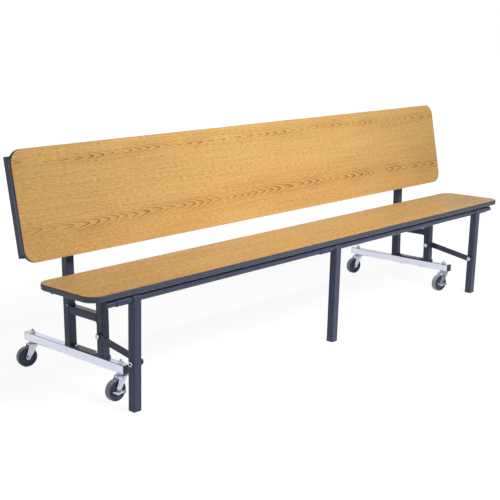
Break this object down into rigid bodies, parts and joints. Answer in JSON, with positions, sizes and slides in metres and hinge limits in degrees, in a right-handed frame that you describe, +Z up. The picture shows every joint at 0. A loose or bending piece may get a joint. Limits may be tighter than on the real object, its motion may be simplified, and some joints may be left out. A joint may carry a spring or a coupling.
{
  "type": "mobile convertible bench",
  "caption": "Long rolling bench seat whose back board flips level to make a table top and whose seat folds up with its legs so the bench rolls on casters.",
  "frame": {"origin": "on the floor, under the middle of the bench's outline", "axes": "+X along the seat, +Y from the seat's front edge to the rear casters, +Z up"},
  "size_m": [2.438, 0.687, 0.8472],
  "materials": {
    "oak_laminate": "satin oak-grain laminate",
    "edge_vinyl": "charcoal vinyl edge mould",
    "frame_paint": "satin charcoal powder coat",
    "bar_chrome": "bright chrome",
    "zinc_plate": "bright zinc plate",
    "end_plastic": "black moulded plastic",
    "caster_rubber": "black rubber with a grey tread"
  },
  "bodies": {
    "frame": {"hinge_rail": "frame_paint", "caster_bar_left": "bar_chrome", "caster_bar_right": "bar_chrome", "bar_cap_front_left": "end_plastic", "bar_cap_front_right": "end_plastic", "bar_cap_rear_left": "end_plastic", "bar_cap_rear_right": "end_plastic", "base_plate_left": "frame_paint", "base_plate_right": "frame_paint", "front_upright_left": "frame_paint", "front_upright_right": "frame_paint", "rear_upright_left": "frame_paint", "rear_upright_right": "frame_paint", "cross_piece_left": "frame_paint", "cross_piece_right": "frame_paint", "link_upper_bolt_left": "zinc_plate", "link_upper_bolt_right": "zinc_plate", "back_pivot_bolt_left": "zinc_plate", "back_pivot_bolt_right": "zinc_plate", "caster_stem_front_left": "zinc_plate", "caster_stem_front_right": "zinc_plate", "caster_stem_rear_left": "zinc_plate", "caster_stem_rear_right": "zinc_plate"},
    "seat": {"seat_board": "oak_laminate", "seat_edge_mould": "edge_vinyl", "front_saddle_left": "frame_paint", "front_saddle_middle": "frame_paint", "front_saddle_right": "frame_paint", "hinge_saddle_left": "frame_paint", "hinge_saddle_middle": "frame_paint", "hinge_saddle_right": "frame_paint"},
    "legs": {"front_rail": "frame_paint", "leg_left": "frame_paint", "leg_middle": "frame_paint", "leg_right": "frame_paint", "leg_glide_left": "end_plastic", "leg_glide_middle": "end_plastic", "leg_glide_right": "end_plastic", "link_lower_bolt_left": "zinc_plate", "link_lower_bolt_right": "zinc_plate"},
    "left_link": {"link_left": "frame_paint"},
    "right_link": {"link_right": "frame_paint"},
    "back": {"back_board": "oak_laminate", "back_edge_mould": "edge_vinyl", "back_channel_left": "frame_paint", "back_channel_right": "frame_paint", "back_bracket_left": "frame_paint", "back_bracket_right": "frame_paint"},
    "front_left_swivel": {"caster_fork_front_left": "zinc_plate"},
    "front_right_swivel": {"caster_fork_front_right": "zinc_plate"},
    "rear_left_swivel": {"caster_fork_rear_left": "zinc_plate"},
    "rear_right_swivel": {"caster_fork_rear_right": "zinc_plate"},
    "front_left_wheel": {"caster_wheel_front_left": "caster_rubber"},
    "front_right_wheel": {"caster_wheel_front_right": "caster_rubber"},
    "rear_left_wheel": {"caster_wheel_rear_left": "caster_rubber"},
    "rear_right_wheel": {"caster_wheel_rear_right": "caster_rubber"},
    "front_left_brake": {"brake_lever_front_left": "zinc_plate"},
    "front_right_brake": {"brake_lever_front_right": "zinc_plate"}
  },
  "joints": [
    {"name": "seat_fold", "type": "hinge", "parent": "frame", "child": "seat", "pos_m": [0, -0.1025, 0.387], "axis": [-1, 0, 0], "range_deg": [0, 90]},
    {"name": "leg_fold", "type": "hinge", "parent": "seat", "child": "legs", "pos_m": [0, -0.326, 0.387], "axis": [1, 0, 0], "range_deg": [0, 65.53]},
    {"name": "left_link_fold", "type": "hinge", "parent": "frame", "child": "left_link", "pos_m": [-1.0093, -0.1025, 0.204], "axis": [-1, 0, 0], "range_deg": [0, 77.21]},
    {"name": "right_link_fold", "type": "hinge", "parent": "frame", "child": "right_link", "pos_m": [1.0093, -0.1025, 0.204], "axis": [-1, 0, 0], "range_deg": [0, 77.21]},
    {"name": "back_flip", "type": "hinge", "parent": "frame", "child": "back", "pos_m": [0, 0.0815, 0.69], "axis": [-1, 0, 0], "range_deg": [0, 79.6]},
    {"name": "front_left_swivel_turn", "type": "hinge", "parent": "frame", "child": "front_left_swivel", "pos_m": [-0.989, -0.1955, 0.085], "axis": [0, 0, 1], "continuous": true},
    {"name": "front_right_swivel_turn", "type": "hinge", "parent": "frame", "child": "front_right_swivel", "pos_m": [0.989, -0.1955, 0.085], "axis": [0, 0, 1], "continuous": true},
    {"name": "rear_left_swivel_turn", "type": "hinge", "parent": "frame", "child": "rear_left_swivel", "pos_m": [-0.989, 0.3135, 0.085], "axis": [0, 0, 1], "continuous": true},
    {"name": "rear_right_swivel_turn", "type": "hinge", "parent": "frame", "child": "rear_right_swivel", "pos_m": [0.989, 0.3135, 0.085], "axis": [0, 0, 1], "continuous": true},
    {"name": "front_left_wheel_spin", "type": "hinge", "parent": "front_left_swivel", "child": "front_left_wheel", "pos_m": [-1.017, -0.1955, 0.038], "axis": [0, 1, 0], "continuous": true},
    {"name": "front_right_wheel_spin", "type": "hinge", "parent": "front_right_swivel", "child": "front_right_wheel", "pos_m": [0.96161, -0.18968, 0.038], "axis": [0.2079, 0.9781, 0], "continuous": true},
    {"name": "rear_left_wheel_spin", "type": "hinge", "parent": "rear_left_swivel", "child": "rear_left_wheel", "pos_m": [-1.01639, 0.31932, 0.038], "axis": [0.2079, 0.9781, 0], "continuous": true},
    {"name": "rear_right_wheel_spin", "type": "hinge", "parent": "rear_right_swivel", "child": "rear_right_wheel", "pos_m": [0.96161, 0.31932, 0.038], "axis": [0.2079, 0.9781, 0], "continuous": true},
    {"name": "front_left_brake_press", "type": "hinge", "parent": "front_left_swivel", "child": "front_left_brake", "pos_m": [-1.017, -0.1955, 0.038], "axis": [0, 1, 0], "range_deg": [0, 20]},
    {"name": "front_right_brake_press", "type": "hinge", "parent": "front_right_swivel", "child": "front_right_brake", "pos_m": [0.96161, -0.18968, 0.038], "axis": [0.2079, 0.9781, 0], "range_deg": [0, 20]}
  ],
  "couplings": [
    {"joint": "leg_fold", "follows": "seat_fold", "ratio": 0.72816},
    {"joint": "left_link_fold", "follows": "seat_fold", "ratio": 0.85785},
    {"joint": "right_link_fold", "follows": "seat_fold", "ratio": 0.85785}
  ]
}
